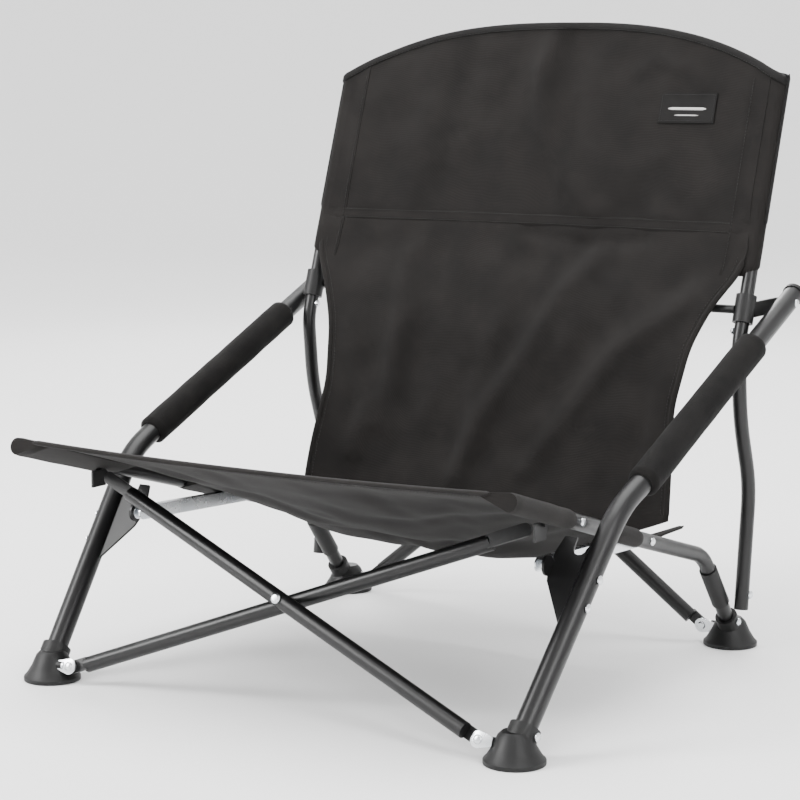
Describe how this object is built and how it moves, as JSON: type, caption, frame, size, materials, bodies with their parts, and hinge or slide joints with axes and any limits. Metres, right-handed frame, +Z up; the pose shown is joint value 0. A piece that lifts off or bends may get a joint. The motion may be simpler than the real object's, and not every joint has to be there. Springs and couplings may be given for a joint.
{
  "type": "folding_camp_chair",
  "caption": "Low folding camp chair with a bent tube frame that folds from side to side, foam grips and a black fabric sling seat and back.",
  "frame": {"origin": "on the floor under the middle of the unfolded chair", "axes": "+Z up, the chair faces -Y, +X is to the right seen from the front"},
  "size_m": [0.6246, 0.5944, 0.6625],
  "materials": {
    "black_frame": "satin black powder coat",
    "zinc_steel": "bright zinc plated steel",
    "black_plastic": "matte moulded nylon",
    "black_foam": "fine closed-cell foam",
    "black_fabric": "plain woven polyester canvas",
    "label_cloth": "plain woven patch"
  },
  "bodies": {
    "side_R": {"seat_rail_R": "black_frame", "rear_sleeve_R": "black_plastic", "rear_foot_R": "black_plastic", "rail_bracket_R": "black_frame", "rail_rivet_1_R": "zinc_steel", "rail_rivet_2_R": "zinc_steel", "rail_rivet_3_R": "zinc_steel", "seat_sleeve_front_R": "black_fabric", "seat_sleeve_rear_R": "black_fabric", "seat_panel": "black_fabric"},
    "link_R": {"lock_link_R": "zinc_steel"},
    "leg_R": {"leg_arm_R": "black_frame", "foam_grip_R": "black_foam", "arm_cap_R": "black_plastic", "front_foot_R": "black_plastic", "lock_plate_R": "black_frame", "leg_rivet_1_R": "zinc_steel", "leg_rivet_2_R": "zinc_steel", "leg_rivet_3_R": "zinc_steel"},
    "post_R": {"upright_R": "black_frame", "collar_stop_R": "zinc_steel", "upright_rivet_R": "zinc_steel", "back_sleeve_R": "black_fabric", "back_panel": "black_fabric", "label_patch": "label_cloth"},
    "slider_R": {"collar_R": "black_plastic"},
    "front_yoke_R": {"front_swivel_R": "zinc_steel"},
    "front_brace_R": {"front_cross_tube_R": "black_frame", "front_cross_rivet": "zinc_steel"},
    "rear_yoke_R": {"rear_swivel_R": "zinc_steel"},
    "rear_brace_R": {"rear_cross_tube_R": "black_frame", "rear_cross_rivet": "zinc_steel"},
    "side_L": {"seat_rail_L": "black_frame", "rear_sleeve_L": "black_plastic", "rear_foot_L": "black_plastic", "rail_bracket_L": "black_frame", "rail_rivet_1_L": "zinc_steel", "rail_rivet_2_L": "zinc_steel", "rail_rivet_3_L": "zinc_steel", "seat_sleeve_front_L": "black_fabric", "seat_sleeve_rear_L": "black_fabric"},
    "link_L": {"lock_link_L": "zinc_steel"},
    "leg_L": {"leg_arm_L": "black_frame", "foam_grip_L": "black_foam", "arm_cap_L": "black_plastic", "front_foot_L": "black_plastic", "lock_plate_L": "black_frame", "leg_rivet_1_L": "zinc_steel", "leg_rivet_2_L": "zinc_steel", "leg_rivet_3_L": "zinc_steel"},
    "post_L": {"upright_L": "black_frame", "collar_stop_L": "zinc_steel", "upright_rivet_L": "zinc_steel", "back_sleeve_L": "black_fabric"},
    "slider_L": {"collar_L": "black_plastic"},
    "front_yoke_L": {"front_swivel_L": "zinc_steel"},
    "front_brace_L": {"front_cross_tube_L": "black_frame"},
    "rear_yoke_L": {"rear_swivel_L": "zinc_steel"},
    "rear_brace_L": {"rear_cross_tube_L": "black_frame"}
  },
  "joints": [
    {"name": "fold", "type": "hinge", "parent": "side_R", "child": "link_R", "pos_m": [0.2392, 0.02783, 0.15], "axis": [1, 0, 0], "range_deg": [0, 83.14], "deforming": ["seat_panel", "back_panel", "label_patch", "seat_sleeve_front_R", "seat_sleeve_front_L", "seat_sleeve_rear_R", "seat_sleeve_rear_L", "back_sleeve_R", "back_sleeve_L"]},
    {"name": "leg_swing_R", "type": "hinge", "parent": "link_R", "child": "leg_R", "pos_m": [0.2392, -0.16217, 0.159], "axis": [1, 0, 0], "range_deg": [0, 0.4649]},
    {"name": "back_swing_R", "type": "hinge", "parent": "side_R", "child": "post_R", "pos_m": [0.2727, 0.21883, 0.062], "axis": [1, 0, 0], "range_deg": [0, 60.38]},
    {"name": "collar_slide_R", "type": "slide", "parent": "post_R", "child": "slider_R", "axis": [0, 0.3237, 0.9462], "range_m": [0, 0.20887]},
    {"name": "front_yoke_turn_R", "type": "hinge", "parent": "leg_R", "child": "front_yoke_R", "pos_m": [0.2415, -0.27517, 0.018], "axis": [1, 0, 0], "range_deg": [-28.22, 0]},
    {"name": "front_brace_tilt_R", "type": "hinge", "parent": "front_yoke_R", "child": "front_brace_R", "pos_m": [0.2415, -0.27517, 0.018], "axis": [0, 0.9299, -0.3679], "range_deg": [0, 54.41]},
    {"name": "rear_yoke_turn_R", "type": "hinge", "parent": "side_R", "child": "rear_yoke_R", "pos_m": [0.2175, 0.24083, 0.018], "axis": [1, 0, 0], "range_deg": [0, 46.16]},
    {"name": "rear_brace_tilt_R", "type": "hinge", "parent": "rear_yoke_R", "child": "rear_brace_R", "pos_m": [0.2175, 0.24083, 0.018], "axis": [0, 0.9953, 0.0967], "range_deg": [0, 38.74]},
    {"name": "side_slide", "type": "slide", "parent": "side_R", "child": "side_L", "axis": [1, 0, 0], "range_m": [0, 0.30406]},
    {"name": "link_swing_L", "type": "hinge", "parent": "side_L", "child": "link_L", "pos_m": [-0.2392, 0.02783, 0.15], "axis": [1, 0, 0], "range_deg": [0, 83.14]},
    {"name": "leg_swing_L", "type": "hinge", "parent": "link_L", "child": "leg_L", "pos_m": [-0.2392, -0.16217, 0.159], "axis": [1, 0, 0], "range_deg": [0, 0.4649]},
    {"name": "back_swing_L", "type": "hinge", "parent": "side_L", "child": "post_L", "pos_m": [-0.2727, 0.21883, 0.062], "axis": [1, 0, 0], "range_deg": [0, 60.38]},
    {"name": "collar_slide_L", "type": "slide", "parent": "post_L", "child": "slider_L", "axis": [0, 0.3237, 0.9462], "range_m": [0, 0.20887]},
    {"name": "front_yoke_turn_L", "type": "hinge", "parent": "leg_L", "child": "front_yoke_L", "pos_m": [-0.2415, -0.27517, 0.018], "axis": [1, 0, 0], "range_deg": [-28.22, 0]},
    {"name": "front_brace_tilt_L", "type": "hinge", "parent": "front_yoke_L", "child": "front_brace_L", "pos_m": [-0.2415, -0.27517, 0.018], "axis": [0, -0.9299, 0.3679], "range_deg": [0, 54.41]},
    {"name": "rear_yoke_turn_L", "type": "hinge", "parent": "side_L", "child": "rear_yoke_L", "pos_m": [-0.2175, 0.24083, 0.018], "axis": [1, 0, 0], "range_deg": [0, 46.16]},
    {"name": "rear_brace_tilt_L", "type": "hinge", "parent": "rear_yoke_L", "child": "rear_brace_L", "pos_m": [-0.2175, 0.24083, 0.018], "axis": [0, -0.9953, -0.0967], "range_deg": [0, 38.74]}
  ],
  "couplings": [
    {"joint": "leg_swing_R", "follows": "fold", "ratio": 0.0055903},
    {"joint": "back_swing_R", "follows": "fold", "ratio": 0.72621},
    {"joint": "collar_slide_R", "follows": "fold", "m_per_rad": 0.14394},
    {"joint": "front_yoke_turn_R", "follows": "fold", "ratio": -0.33937},
    {"joint": "front_brace_tilt_R", "follows": "fold", "ratio": 0.65438},
    {"joint": "rear_yoke_turn_R", "follows": "fold", "ratio": 0.55524},
    {"joint": "rear_brace_tilt_R", "follows": "fold", "ratio": 0.466},
    {"joint": "side_slide", "follows": "fold", "m_per_rad": 0.20954},
    {"joint": "link_swing_L", "follows": "fold", "ratio": 1},
    {"joint": "leg_swing_L", "follows": "fold", "ratio": 0.0055903},
    {"joint": "back_swing_L", "follows": "fold", "ratio": 0.72621},
    {"joint": "collar_slide_L", "follows": "fold", "m_per_rad": 0.14394},
    {"joint": "front_yoke_turn_L", "follows": "fold", "ratio": -0.33937},
    {"joint": "front_brace_tilt_L", "follows": "fold", "ratio": 0.65438},
    {"joint": "rear_yoke_turn_L", "follows": "fold", "ratio": 0.55524},
    {"joint": "rear_brace_tilt_L", "follows": "fold", "ratio": 0.466}
  ]
}
